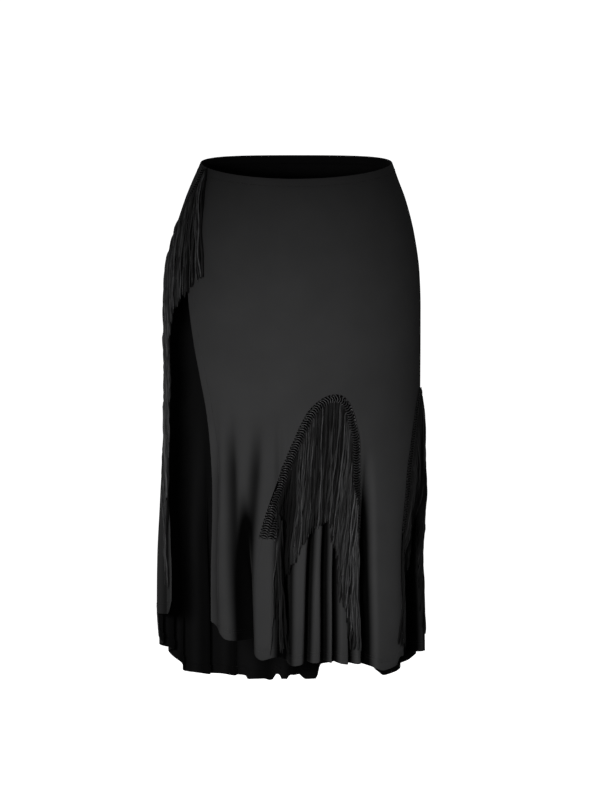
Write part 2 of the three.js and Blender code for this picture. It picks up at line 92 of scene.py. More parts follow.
SLIT = [  # height, angle of the front edge and of the rear edge
    (0.020, -66.4, -66.6),
    (-0.025, -66.2, -66.8),
    (-0.050, -64.4, -70.4),
    (-0.085, -61.3, -74.6),
    (-0.120, -58.2, -75.9),
    (-0.150, -55.8, -75.0),
    (-0.190, -52.7, -73.6),
    (-0.240, -49.0, -72.4),
    (-0.285, -44.8, -71.9),
    (-0.330, -40.8, -72.0),
    (-0.380, -38.0, -72.6),
    (-0.430, -36.5, -71.4),
    (-0.470, -35.9, -68.0),
    (-0.510, -35.5, -65.0),
    (-0.556, -35.3, -61.8),
    (-0.620, -35.2, -61.5),
]

HEM = [  # angle and height
    (-40, -0.604), (-35, -0.6125), (-31, -0.627), (-28, -0.634), (-21.6, -0.6385),
    (-17, -0.650), (-12, -0.6595), (-7, -0.656), (-1, -0.668), (5.6, -0.6645),
    (12.7, -0.6625), (18.3, -0.664), (25, -0.667), (31.5, -0.6675), (35, -0.671),
    (42, -0.679), (49.5, -0.675), (53, -0.664), (61.5, -0.6645), (79, -0.669),
    (90, -0.672), (101.5, -0.677), (112, -0.687), (121, -0.704), (128, -0.718),
    (134, -0.724), (139, -0.721), (144, -0.712), (154, -0.709), (164, -0.713),
    (166.6, -0.716), (167.8, -0.724), (168.8, -0.738), (174, -0.7395), (175.5, -0.7365),
    (177, -0.7315), (180.7, -0.731), (181.8, -0.7385), (184.6, -0.7395), (185.7, -0.732),
    (187.4, -0.732), (188.4, -0.739), (190, -0.7395), (193, -0.7365), (199.6, -0.738),
    (200.8, -0.7325),
    (208, -0.729), (224, -0.722), (236, -0.714), (241.5, -0.698), (248, -0.682),
    (259, -0.668), (266, -0.662), (269, -0.655), (272.5, -0.619), (283, -0.615),
    (291, -0.612), (295, -0.606), (299, -0.588),
]
EVEN_HEM = -0.665
HEM_PULL = 0.110

# angle at the top and at the hem, heights where it starts and is full, depth and half width
TROUGHS = [
    (-35.8, -32.9, -0.305, -0.450, 0.006, 0.0060),
    (-29.2, -22.8, -0.300, -0.420, 0.0100, 0.0085),
    (-14.6, -19.8, -0.300, -0.420, 0.0100, 0.0088),
    (-21.9, -19.3, -0.395, -0.650, 0.052, 0.0082),
    (-5.4, -5.0, -0.310, -0.400, 0.004, 0.0050),
    (-0.8, -3.0, -0.390, -0.515, 0.042, 0.0085),
    (10.4, 6.8, -0.430, -0.525, 0.029, 0.0040),
    (16.2, 14.1, -0.420, -0.515, 0.030, 0.0042),
    (20.8, 18.9, -0.440, -0.530, 0.026, 0.0036),
    (27, 26.2, -0.440, -0.550, 0.020, 0.0038),
    (35.3, 34.1, -0.365, -0.590, 0.038, 0.0070),
    (60, 58.5, -0.470, -0.580, 0.010, 0.0045),
    (73, 73, -0.430, -0.560, 0.034, 0.0300),
    (67, 66, -0.455, -0.580, 0.007, 0.0045),
    (83, 82, -0.440, -0.580, 0.016, 0.0050),
    (92, 92.5, -0.450, -0.580, 0.014, 0.0050),
    (106, 105, -0.330, -0.660, 0.012, 0.0100),
    (119, 120.5, -0.450, -0.690, 0.015, 0.0072),
    (133, 132.5, -0.310, -0.620, 0.009, 0.0130),
    (146, 149, -0.350, -0.650, 0.018, 0.0088),
    (165, 164, -0.460, -0.720, 0.012, 0.0115),
    (177, 179.5, -0.330, -0.610, 0.016, 0.0082),
    (195, 193, -0.410, -0.700, 0.011, 0.0140),
    (206.5, 208, -0.480, -0.700, 0.014, 0.0070),
    (226, 223.5, -0.310, -0.610, 0.018, 0.0098),
    (239, 240, -0.430, -0.650, 0.010, 0.0100),
    (254, 253, -0.340, -0.600, 0.015, 0.0088),
    (267.5, 266, -0.440, -0.610, 0.008, 0.0100),
    (286, 286, -0.430, -0.560, 0.009, 0.0220),
]


def smooth_curve(x, y):
    """A smooth curve through points that never overshoots them."""
    rise = np.diff(y) / np.diff(x)
    before, after = np.append(rise[0], rise), np.append(rise, rise[-1])
    both = before * after
    slope = np.where(both > 0, 2 * both / np.where(both > 0, before + after, 1), 0)

    def curve(value):
        value = np.clip(value, x[0], x[-1])
        i = np.clip(np.searchsorted(x, value) - 1, 0, len(x) - 2)
        span = x[i + 1] - x[i]
        t = (value - x[i]) / span
        ends = y[i] * (1 + 2 * t) * (1 - t) ** 2 + y[i + 1] * t * t * (3 - 2 * t)
        return ends + span * t * (1 - t) * (slope[i] * (1 - t) - slope[i + 1] * t)

    return curve


def smooth_curves(rows):
    """One curve along a table's first column for each of its other columns."""
    table = np.array(rows, float)
    table = table[np.argsort(table[:, 0])]
    return [smooth_curve(table[:, 0], column) for column in table[:, 1:].T]


half_width, front_depth, back_depth, side_shift = smooth_curves(BODY)
left_leg, right_leg = smooth_curves(ARCH)
slit_front, slit_rear = smooth_curves(SLIT)
hem_height, = smooth_curves(HEM)


def depth_at(angle, z):
    return np.where(np.cos(np.radians(angle)) > 0, front_depth(z), back_depth(z))


def ridge_form(angle, z):
    """The surface that touches the ridges of all the folds."""
    t = np.radians(angle)
    x = side_shift(z) + half_width(z) * np.sin(t)
    return np.stack(np.broadcast_arrays(x, -depth_at(angle, z) * np.cos(t), z), -1)


def outward(angle, z):
    t = np.radians(angle)
    x, y = depth_at(angle, z) * np.sin(t), -half_width(z) * np.cos(t)
    length = np.hypot(x, y)
    return np.stack(np.broadcast_arrays(x / length, y / length, 0.0 * length), -1)


def per_degree(angle, z):
    """Metres along the cloth in one degree."""
    t = np.radians(angle)
    return np.hypot(half_width(z) * np.cos(t), depth_at(angle, z) * np.sin(t)) * math.pi / 180


def ease(value, start, end):
    t = np.clip((value - start) / (end - start), 0, 1)
    return t * t * (3 - 2 * t)


def sunk(angle, z):
    """How far the cloth lies inside the ridges, summed over the troughs."""
    depth = 0.0
    for start, hem, top, full, deep, half in TROUGHS:
        way = np.clip((z - top) / (EVEN_HEM - top), 0, 1)
        off = (angle - start - (hem - start) * way + 180) % 360 - 180
        across = off * per_degree(angle, z) / half
        depth = depth + deep * ease(-z, -top, -full) * np.exp(-across ** 2)
    return depth


def cloth(angle, z):
    return ridge_form(angle, z) - outward(angle, z) * sunk(angle, z)[..., None]


def cloth_normal(angle, z):
    step_angle, step_z = 0.05, 0.0002
    along = cloth(angle + step_angle, z) - cloth(angle - step_angle, z)
    down = cloth(angle, z - step_z) - cloth(angle, z + step_z)
    normal = np.cross(down, along)
    return normal / np.linalg.norm(normal, axis=-1, keepdims=True)


def waist_height(angle):
    facing = np.cos(np.radians(angle))
    return -WAIST_SLOPE * facing - WAIST_SCOOP * facing ** 2


def yoke_grid(left_edge, right_edge, columns, rows):
    """Angles and heights from the waist to the level of the arches' apexes."""
    down = np.linspace(0, 1, rows)[:, None]
    angle = np.linspace(left_edge(0.0), right_edge(0.0), columns)[None, :] + 0 * down
    share = np.linspace(0, 1, columns)[None, :]
    for _ in range(8):
        z = waist_height(angle) * (1 - down) + ARCH_TOP * down
        left, right = left_edge(z[:, :1]), right_edge(z[:, -1:])
        angle = left + (right - left) * share
    return angle, waist_height(angle) * (1 - down) + ARCH_TOP * down


def row_height(root, angle):
    """Height of a row below the apexes; the rows stretch so that the last one is the hem."""
    even = ARCH_TOP - root ** 2 / 1000
    pull = np.clip((ARCH_TOP - HEM_PULL - even) / (ARCH_TOP - HEM_PULL - EVEN_HEM), 0, 1)
    return even + (hem_height(angle) - EVEN_HEM) * pull


HEM_ROOT = math.sqrt((ARCH_TOP - EVEN_HEM) * 1000)


def lower_grid(left_edge, right_edge, columns, rows):
    """Angles and heights from the level of the apexes to the hem."""
    root = np.linspace(0, HEM_ROOT, rows)[:, None]
    left = left_edge(ARCH_TOP + 0 * root)
    right = right_edge(ARCH_TOP + 0 * root)
    for _ in range(10):
        left = left_edge(row_height(root, left))
        right = right_edge(row_height(root, right))
    angle = left + (right - left) * np.linspace(0, 1, columns)[None, :]
    return angle, row_height(root, angle)


def leg_edge(leg, apex, inset=0.0):
    """An arch's leg as a function of height."""
    return lambda z: apex + leg(np.sqrt(np.maximum(ARCH_TOP - z, 0) * 1000)) + inset


def side_leg(root):
    """The side arch's front leg, which stands a little steeper at its foot."""
    return left_leg(root) * (1 - 0.12 * ease(root, 9.5, 13.7))


def add_object(name, data):
    piece = bpy.data.objects.new(name, data)
    bpy.context.collection.objects.link(piece)
    return piece


class Patch:
    """Collects grids of cloth and makes one smooth mesh of them, with a UV map in metres."""

    def __init__(self):
        self.points, self.quads, self.places, self.faces = [], [], [], []

    def grid(self, points, places, face=0):
        rows, columns = points.shape[:2]
        self.faces.extend([face] * ((rows - 1) * (columns - 1)))
        first = len(self.points)
        self.points.extend(points.reshape(-1, 3))
        self.places.extend(places.reshape(-1, 2))
        at = np.arange(rows * columns).reshape(rows, columns) + first
        self.quads.extend(
            np.stack([at[:-1, :-1], at[1:, :-1], at[1:, 1:], at[:-1, 1:]], -1).reshape(-1, 4))

    def cloth(self, angle, z):
        """Lays one grid on the skirt's form and returns its points and normals."""
        points = cloth(angle, z)
        steps = np.linalg.norm(np.diff(points, axis=1), axis=2)
        along = np.concatenate([np.zeros((len(steps), 1)), np.cumsum(steps, axis=1)], 1)
        along += np.radians(angle[:, :1]) * 0.16
        self.grid(points, np.stack([along, z], -1))
        return points, cloth_normal(angle, z)

    def fold(self, points, normals, profile, flip):
        """Carries an edge on to the inside along a profile of (inwards, back over the cloth)."""
        edge, near = points[0], points[:16]
        into = near[1] - edge
        into /= np.linalg.norm(into, axis=-1, keepdims=True)
        far = np.cumsum(np.linalg.norm(np.diff(near, axis=0), axis=-1), axis=0)
        far = np.concatenate([np.zeros((1, far.shape[1])), far])
        rows = []
        for deep, over in profile:
            if over <= 0:
                rows.append(edge - normals[0] * deep + into * over)
                continue
            level = (far < over).sum(0).clip(1, len(near) - 1)
            at = np.arange(far.shape[1])
            low, high = far[level - 1, at], far[level, at]
            share = ((over - low) / (high - low))[:, None]
            place = near[level - 1, at] * (1 - share) + near[level, at] * share
            normal = normals[level - 1, at] * (1 - share) + normals[level, at] * share
            rows.append(place - normal * deep)
        steps = [math.dist(a, b) for a, b in zip(profile, profile[1:])]
        reach = np.cumsum([0] + steps)
        along = np.cumsum(np.append(0, np.linalg.norm(np.diff(edge, axis=0), axis=1)))
        places = np.stack(np.broadcast_arrays(along[None, :], reach[:, None]), -1)
        cut = max(i for i, (deep, over) in enumerate(profile) if over <= 0)
        for first, last, face in ((0, cut + 1, 0), (cut, len(profile), 1)):
            part, place = np.stack(rows[first:last]), places[first:last]
            self.grid(part[::-1] if flip else part, place[::-1] if flip else place, face)

    def turn(self, points, normals, flip):
        """A turned hem or opening edge: round the fold and flat against the inner side."""
        self.fold(points, normals, TURNED_EDGE, flip)

    def seam(self, points, normals, flip):
        """A seam edge: straight to the inside, where its allowance would be sewn."""
        self.fold(points, normals, SEAM_EDGE, flip)

    def finish(self, name, thickness, material):
        mesh = bpy.data.meshes.new(name)
        faces = [tuple(map(int, q)) for q in self.quads]
        mesh.from_pydata([tuple(p) for p in self.points], [], faces)
        layer = mesh.uv_layers.new(name="cloth")
        corners = np.empty(len(mesh.loops), int)
        mesh.loops.foreach_get("vertex_index", corners)
        layer.data.foreach_set("uv", np.array(self.places, float)[corners].ravel())
        mesh.materials.append(material)
        # The inner wall and the turned-in edges take the far darker inside jersey: painted shade in
        # the skirt's hollow.
        mesh.materials.append(inside_painted_shade)
        mesh.polygons.foreach_set("material_index", self.faces)
        weld_mesh(mesh)
        mark_folds(mesh)
        mesh.shade_smooth()
        piece = add_object(name, mesh)
        wall = piece.modifiers.new("wall", "SOLIDIFY")
        wall.thickness = thickness
        wall.offset = -1
        wall.material_offset = 1
        return piece


def mark_folds(mesh):
    """Stores how far each point lies inside the ridges of the folds, for its material's painted
    shade.
    """
    spots = np.empty(len(mesh.vertices) * 3)
    mesh.vertices.foreach_get("co", spots)
    x, y, z = spots.reshape(-1, 3).T
    out = np.hypot(x - side_shift(z), y)
    share = np.hypot((x - side_shift(z)) / half_width(z),
                     y / np.where(y < 0, front_depth(z), back_depth(z)))
    inside = mesh.attributes.new("fold", "FLOAT", "POINT")
    inside.data.foreach_set("value", np.clip(out / share - out, 0, 0.06))


def weld_mesh(mesh):
    work = bmesh.new()
    work.from_mesh(mesh)
    bmesh.ops.remove_doubles(work, verts=work.verts, dist=2e-6)
    bmesh.ops.dissolve_degenerate(work, edges=work.edges, dist=1e-6)
    work.to_mesh(mesh)
    work.free()


def feed(tree, socket, value):
    """Links an output to a socket, or sets the socket's value."""
    if isinstance(value, bpy.types.NodeSocket):
        tree.links.new(value, socket)
    else:
        socket.default_value = value


def add_node(tree, kind, *inputs, **values):
    """Adds a node. Inputs go to its sockets in order, and a value to the property of its name,
    or else to the socket of its name."""
    node = tree.nodes.new(kind)
    for key, value in values.items():
        if hasattr(node, key):
            setattr(node, key, value)
        else:
            feed(tree, node.inputs[key.replace("_", " ").title()], value)
    for socket, value in zip(node.inputs, inputs):
        feed(tree, socket, value)
    return node


def calculate(tree, operation, *values):
    return add_node(tree, "ShaderNodeMath", *values, operation=operation).outputs["Value"]


def new_material(name):
    material = bpy.data.materials.new(name)
    material.use_nodes = True
    return material, material.node_tree, material.node_tree.nodes["Principled BSDF"]


def raise_surface(tree, shader, height, strength, distance):
    bump = add_node(tree, "ShaderNodeBump", strength=strength, distance=distance)
    feed(tree, bump.inputs["Height"], height)
    feed(tree, shader.inputs["Normal"], bump.outputs["Normal"])


def shaded(tree, share, color, spread, low, high):
    """A colour that varies by a spread, as a share goes from low to high."""
    ramp = add_node(tree, "ShaderNodeValToRGB", share)
    for stop, place, factor in zip(ramp.color_ramp.elements, (low, high), (1 - spread, 1 + spread)):
        stop.position = place
        stop.color = (*[c * factor for c in color], 1)
    return ramp.outputs["Color"]


def paint_fold_shade(tree, color, start, end, least):
    """Paints shade into a colour towards the bottoms of the folds."""
    inside = add_node(tree, "ShaderNodeAttribute", attribute_name="fold").outputs["Fac"]
    share = add_node(tree, "ShaderNodeMapRange", inside, interpolation_type="SMOOTHSTEP",
                     from_min=start, from_max=end, to_min=1.0, to_max=least).outputs["Result"]
    return add_node(tree, "ShaderNodeVectorMath", color, operation="SCALE",
                    scale=share).outputs["Vector"]


WALE_PITCH = 0.0009  # the knit's upright ribs
COURSE_PITCH = 0.0007
WAVE_BANDS = math.pi / 10  # a wave texture's band is this long at scale 1


def knit_material(name, color, roughness, painted_fold_shade):
    """Matt knitted jersey: fine wales and courses, slight cloudiness, and painted shade in the
    folds.
    """
    material, tree, shader = new_material(name)
    shader.inputs["Specular IOR Level"].default_value = 0.02
    shader.inputs["Sheen Weight"].default_value = 0.012
    shader.inputs["Sheen Roughness"].default_value = 0.45
    place = add_node(tree, "ShaderNodeUVMap", uv_map="cloth").outputs["UV"]
    spot = add_node(tree, "ShaderNodeTexCoord").outputs["Object"]
    wales, courses = (
        add_node(tree, "ShaderNodeTexWave", place, bands_direction=way,
                 scale=WAVE_BANDS / pitch).outputs["Fac"]
        for way, pitch in (("X", WALE_PITCH), ("Y", COURSE_PITCH)))
    cloud, fuzz = (
        add_node(tree, "ShaderNodeTexNoise", spot, scale=scale, detail=detail).outputs["Fac"]
        for scale, detail in ((22.0, 4.0), (900.0, 2.0)))
    knit = calculate(tree, "MULTIPLY", wales, courses)
    raise_surface(tree, shader, calculate(tree, "MULTIPLY_ADD", fuzz, 0.5, knit), 0.22, 0.0003)
    tone = shaded(tree, cloud, color, 0.05, 0.3, 0.7)
    # The base colour darkens with the fold depth: painted shade in the folds.
    feed(tree, shader.inputs["Base Color"], paint_fold_shade(tree, tone, 0.0015, 0.014, painted_fold_shade))
    rough = add_node(tree, "ShaderNodeMapRange", cloud,
                     to_min=roughness - 0.05, to_max=roughness + 0.05)
    feed(tree, shader.inputs["Roughness"], rough.outputs["Result"])
    return material


jersey = knit_material("black_jersey", (0.0295, 0.0295, 0.030), 0.85, 0.02)
# The inside jersey is about a fifth as bright as the face: painted shade in the skirt's hollow.
inside_painted_shade = knit_material("jersey_wrong_side", (0.0062, 0.0062, 0.0064), 0.95, 0.45)

TURNED_EDGE = [(0, 0), (0.0003, -0.0006), (0.0009, -0.0009), (0.0015, -0.0006), (0.0018, 0),
               (0.0019, 0.003), (0.0020, 0.006), (0.0020, 0.009), (0.0021, 0.012)]
SEAM_EDGE = [(0, 0), (0.0003, -0.0004), (0.0010, -0.0006), (0.0020, -0.0006), (0.0040, 0.0003)]
SEAM = 0.0006
side_inset = SEAM / 2 / float(per_degree(SIDE_ARCH, ARCH_TOP))
ROWS_ABOVE = 64
ROWS_BELOW = 112
LEFT_COLUMNS = 92
RIGHT_COLUMNS = 96

front = Patch()
side_seam = lambda z: SIDE_ARCH - side_inset + 0 * z
centre = lambda z: FRONT_ARCH + 0 * z
left_yoke = front.cloth(*yoke_grid(slit_front, centre, LEFT_COLUMNS, ROWS_ABOVE))
right_yoke = front.cloth(*yoke_grid(centre, side_seam, RIGHT_COLUMNS, ROWS_ABOVE))
left_tongue = front.cloth(
    *lower_grid(slit_front, leg_edge(left_leg, FRONT_ARCH), LEFT_COLUMNS, ROWS_BELOW))
right_tongue = front.cloth(
    *lower_grid(leg_edge(right_leg, FRONT_ARCH), leg_edge(side_leg, SIDE_ARCH, -side_inset),
                RIGHT_COLUMNS, ROWS_BELOW))


def top(grid):
    return grid


def bottom(grid):
    return grid[::-1]


def left(grid):
    return grid.swapaxes(0, 1)


def right(grid):
    return grid.swapaxes(0, 1)[::-1]


for points, normals in (left_yoke, right_yoke):
    front.turn(top(points), top(normals), flip=True)
for points, normals in (left_tongue, right_tongue):
    front.turn(bottom(points), bottom(normals), flip=False)
for points, normals in (left_yoke, left_tongue):
    front.turn(left(points), left(normals), flip=False)
for points, normals in (right_yoke, right_tongue):
    front.seam(right(points), right(normals), flip=True)
front.seam(right(left_tongue[0])[:, 1:], right(left_tongue[1])[:, 1:], flip=True)
front.seam(left(right_tongue[0])[:, 1:], left(right_tongue[1])[:, 1:], flip=False)
front_panel = front.finish("front_panel_cloth", JERSEY_THICKNESS, jersey)
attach(front_panel, "root")
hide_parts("front_panel")


# The back panel is one cut piece of the same jersey, from the side seam round the back to the
# slit's rear edge. It hangs in soft flare folds to a longer hem, and its slit edge ends in a free
# flap with a rounded corner.

BACK_COLUMNS = 236

back = Patch()
side_seam_back = lambda z: SIDE_ARCH + side_inset + 0 * z
slit_rear_turned = lambda z: slit_rear(z) + 360
back_yoke = back.cloth(*yoke_grid(side_seam_back, slit_rear_turned, BACK_COLUMNS, ROWS_ABOVE))
back_fall = back.cloth(
    *lower_grid(leg_edge(right_leg, SIDE_ARCH, side_inset), slit_rear_turned,
                BACK_COLUMNS, ROWS_BELOW))
back.turn(top(back_yoke[0]), top(back_yoke[1]), flip=True)
back.turn(bottom(back_fall[0]), bottom(back_fall[1]), flip=False)
for points, normals in (back_yoke, back_fall):
    back.turn(right(points), right(normals), flip=True)
    back.seam(left(points), left(normals), flip=False)
back_panel = back.finish("back_panel_cloth", JERSEY_THICKNESS, jersey)
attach(back_panel, "root")
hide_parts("back_panel")


# A godet is a flared piece of jersey with a pointed round head, sewn in under each arch. Its
# fullness falls in narrow folds to the hem.

GODET_COLUMNS = 170


def sew_godet(name, apex, leg):
    godet = Patch()
    inset = SEAM / float(per_degree(apex, ARCH_TOP))
    points, normals = godet.cloth(
        *lower_grid(leg_edge(leg, apex, inset), leg_edge(right_leg, apex, -inset),
                    GODET_COLUMNS, ROWS_BELOW))
    godet.turn(bottom(points), bottom(normals), flip=False)
    godet.seam(left(points[2:]), left(normals[2:]), flip=False)
    godet.seam(right(points[2:]), right(normals[2:]), flip=True)
    return godet.finish(name, JERSEY_THICKNESS, jersey)


front_godet = sew_godet("front_godet_cloth", FRONT_ARCH, left_leg)
side_godet = sew_godet("side_godet_cloth", SIDE_ARCH, side_leg)
for godet, node in ((front_godet, "front_godet"), (side_godet, "side_godet")):
    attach(godet, "root")
    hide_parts(node)


# The braid is a 13 mm gimp: a thin tape covered by slanting yarns, with a row of small loops
# along its outer edge. It is sewn flat over each arch's seam and along the slit's rear edge.

TAPE_WIDTH = 0.0098
CORE_WIDTH = 0.0106
CORE_SHIFT = 0.0009
BRAID_LIFT = 0.0004
BRAID_THICKNESS = 0.0008
BRAID_DROP = 0.188
SLIT_BRAID_FOOT = -0.432
BRAID_ROWS = 260


def path_steps(angle, z):
    """Each point's direction of travel and reach along a path in (angle, height)."""
    scale = per_degree(angle, z)
    across, down = np.gradient(angle) * scale, np.gradient(z)
    step = np.hypot(across, down)
    reach = np.append(0, np.cumsum(np.hypot(np.diff(angle) * scale[1:], np.diff(z))))
    return across / step, down / step, scale, reach


def evened(angle, z, count):
    """The same path with its points evenly spaced."""
    reach = path_steps(angle, z)[3]
    even = np.linspace(0, reach[-1], count)
    return np.interp(even, reach, angle), np.interp(even, reach, z)


def beside(angle, z, offset):
    """A path that runs beside another; a positive offset is to the right of the way it runs."""
    across, down, scale, _ = path_steps(angle, z)
    return angle + down * offset / scale, z - across * offset


def arch_path(apex, leg):
    """The tape's middle: on the seam at the left foot, and inside it from the apex on."""
    k = np.linspace(-1, 1, 801)
    root = np.abs(k) ** 1.15 * math.sqrt(BRAID_DROP * 1000)
    angle = apex + np.where(k < 0, leg(root), right_leg(root))
    angle, z = evened(angle, ARCH_TOP - root ** 2 / 1000, BRAID_ROWS)
    inside = 0.0021 + 0.0030 * ease(np.linspace(0, 1, BRAID_ROWS), 0.3, 0.62)
    return evened(*beside(angle, z, inside), BRAID_ROWS)


def slit_path():
    top = float(waist_height(slit_rear(0.0))) - 0.001
    z = np.linspace(top, SLIT_BRAID_FOOT, 801)
    angle = slit_rear(z) - TAPE_WIDTH / 2 / per_degree(slit_rear(z), z)
    return evened(angle, z, BRAID_ROWS)


def sweep(name, rings, material):
    """Closed skin over a row of rings of points."""
    count, sides = rings.shape[:2]
    at = np.arange(count * sides).reshape(count, sides)
    turned = np.roll(at, -1, axis=1)
    quads = np.stack([at[:-1], at[1:], turned[1:], turned[:-1]], -1).reshape(-1, 4)
    faces = [tuple(map(int, q)) for q in quads]
    faces += [tuple(map(int, at[0])), tuple(map(int, at[-1][::-1]))]
    mesh = bpy.data.meshes.new(name)
    mesh.from_pydata([tuple(p) for p in rings.reshape(-1, 3)], [], faces)
    mesh.shade_smooth()
    mesh.materials.append(material)
    return add_object(name, mesh)


def yarn_material(name, color, roughness, pitch, relief, gloss):
    """Twisted shiny yarn; the turn of its plies comes from the ply attribute. The tone attribute
    sets its colour and gloss and carries painted highlight and shade; its colour also gets painted
    shade in the folds.
    """
    material, tree, shader = new_material(name)
    shader.inputs["Specular IOR Level"].default_value = gloss
    ply = add_node(tree, "ShaderNodeAttribute", attribute_name="ply").outputs["Vector"]
    split = add_node(tree, "ShaderNodeSeparateXYZ", ply).outputs
    turn = calculate(tree, "MULTIPLY", split["Z"], 2 * math.pi / pitch)
    ahead = calculate(tree, "MULTIPLY", calculate(tree, "COSINE", turn), split["Y"])
    aside = calculate(tree, "MULTIPLY", calculate(tree, "SINE", turn), split["X"])
    raise_surface(tree, shader, calculate(tree, "ADD", ahead, aside), relief, 0.0004)
    spot = add_node(tree, "ShaderNodeTexCoord").outputs["Object"]
    stretch = add_node(tree, "ShaderNodeMapping", spot, scale=(1, 1, 0.06)).outputs["Vector"]
    streak = add_node(tree, "ShaderNodeTexNoise", stretch, scale=420.0, detail=2.0)
    own = add_node(tree, "ShaderNodeAttribute", attribute_name="tone").outputs["Fac"]
    dull = add_node(tree, "ShaderNodeMapRange", own, from_min=0.2, from_max=1.5,
                    to_min=1.0, to_max=roughness)
    feed(tree, shader.inputs["Roughness"], dull.outputs["Result"])
    # The tone attribute scales the colour: painted highlight where it is set high, painted shade
    # where low.
    tone = add_node(tree, "ShaderNodeVectorMath",
                    shaded(tree, streak.outputs["Fac"], color, 0.5, 0.35, 0.65),
                    operation="SCALE", scale=own)
    # The colour darkens with the fold depth: painted shade in the folds.
    feed(tree, shader.inputs["Base Color"],
         paint_fold_shade(tree, tone.outputs["Vector"], 0.003, 0.016, 0.08))
    return material


def mark_tone(mesh, tone):
    layer = mesh.attributes.new("tone", "FLOAT", "POINT")
    layer.data.foreach_set("value", np.full(len(mesh.vertices), 1.0) * tone)


gimp = yarn_material("black_gimp", (0.012, 0.012, 0.0123), 0.42, 0.0016, 0.3, 0.25)
# The tape is far darker than the yarns: partly its own black, partly painted shade in the gaps
# between the yarns.
gimp_core = yarn_material("black_gimp_core", (0.0025, 0.0025, 0.0026), 0.9, 0.0016, 0.3, 0.03)

RIB_PITCH = 0.0034
LOOP_PITCH = 0.0044


def growing_tree(name, sizes):
    """A geometry tree with a wire, named sizes and a material as its inputs."""
    tree = bpy.data.node_groups.new(name, "GeometryNodeTree")
    sockets = {}
    for key, size in (("Geometry", None), *sizes, ("Material", None)):
        kind = key if size is None else "Int" if isinstance(size, int) else "Float"
        socket = tree.interface.new_socket(key, in_out="INPUT", socket_type="NodeSocket" + kind)
        sockets[key] = socket.identifier
        if size is not None:
            socket.default_value = size
    tree.interface.new_socket("Geometry", in_out="OUTPUT", socket_type="NodeSocketGeometry")
    start = add_node(tree, "NodeGroupInput").outputs
    path = add_node(tree, "GeometryNodeMeshToCurve", start["Geometry"]).outputs["Curve"]
    return tree, sockets, start, path


def finish_tree(tree, start, geometry):
    real = add_node(tree, "GeometryNodeRealizeInstances", geometry).outputs["Geometry"]
    smooth = add_node(tree, "GeometryNodeSetShadeSmooth", real).outputs["Geometry"]
    coloured = add_node(tree, "GeometryNodeSetMaterial", smooth, material=start["Material"])
    add_node(tree, "NodeGroupOutput", coloured.outputs["Geometry"])


def vector(tree, x, y, z):
    return add_node(tree, "ShaderNodeCombineXYZ", x, y, z).outputs["Vector"]


def named(tree, name, kind):
    node = add_node(tree, "GeometryNodeInputNamedAttribute", data_type=kind)
    node.inputs["Name"].default_value = name
    return node.outputs["Attribute"]


def swept(tree, curve, radius, sides):
    """A round skin along a curve."""
    ring = add_node(tree, "GeometryNodeCurvePrimitiveCircle", resolution=sides, radius=radius)
    return add_node(tree, "GeometryNodeCurveToMesh", curve=curve, fill_caps=True,
                    profile_curve=ring.outputs["Curve"]).outputs["Mesh"]


def placed_along(tree, path, pitch, shape):
    """Copies of a shape at even steps along a wire, turned to its way and to its facing."""
    evenly = add_node(tree, "GeometryNodeResampleCurve", mode="LENGTH", curve=path, length=pitch)
    way = add_node(tree, "GeometryNodeInputTangent").outputs["Tangent"]
    turned = add_node(tree, "FunctionNodeAxesToRotation", named(tree, "facing", "FLOAT_VECTOR"),
                      way, primary_axis="Z", secondary_axis="X")
    return add_node(tree, "GeometryNodeInstanceOnPoints", points=evenly.outputs["Curve"],
                    instance=shape, rotation=turned.outputs["Rotation"]).outputs["Instances"]


def braid_tree():
    """Slanting yarns across the tape and loops along its outer edge."""
    tree, sockets, size, path = growing_tree("gimp_yarns", [
        ("Yarn Pitch", RIB_PITCH), ("Loop Pitch", LOOP_PITCH), ("Width", TAPE_WIDTH),
        ("Lead", 0.0046), ("Bow", 0.0026), ("Yarn Radius", 0.0008),
        ("Loop Radius", 0.0008), ("Loop Yarn", 0.0007), ("Outer Side", -1.0)])
    side = calculate(tree, "MULTIPLY", size["Width"], 0.5)
    other = calculate(tree, "MULTIPLY", side, -1.0)
    yarn = add_node(tree, "GeometryNodeCurveQuadraticBezier", resolution=8,
                    start=vector(tree, 0.0, other, 0.0),
                    middle=vector(tree, size["Lead"], 0.0, size["Bow"]),
                    end=vector(tree, 0.0, side, 0.0))
    yarns = placed_along(tree, path, size["Yarn Pitch"],
                         swept(tree, yarn.outputs["Curve"], size["Yarn Radius"], 5))
    ring = add_node(tree, "GeometryNodeCurvePrimitiveCircle", resolution=10,
                    radius=size["Loop Radius"])
    off = calculate(tree, "ADD", side, size["Loop Radius"])
    off = calculate(tree, "MULTIPLY", off, size["Outer Side"])
    loop = add_node(tree, "GeometryNodeTransform", rotation=(0.5, 0.0, 0.0),
                    geometry=swept(tree, ring.outputs["Curve"], size["Loop Yarn"], 5),
                    translation=vector(tree, 0.0, off, 0.0))
    loops = placed_along(tree, path, size["Loop Pitch"], loop.outputs["Geometry"])
    joined = add_node(tree, "GeometryNodeJoinGeometry")
    for part in (yarns, loops):
        feed(tree, joined.inputs["Geometry"], part)
    finish_tree(tree, size, joined.outputs["Geometry"])
    return tree, sockets


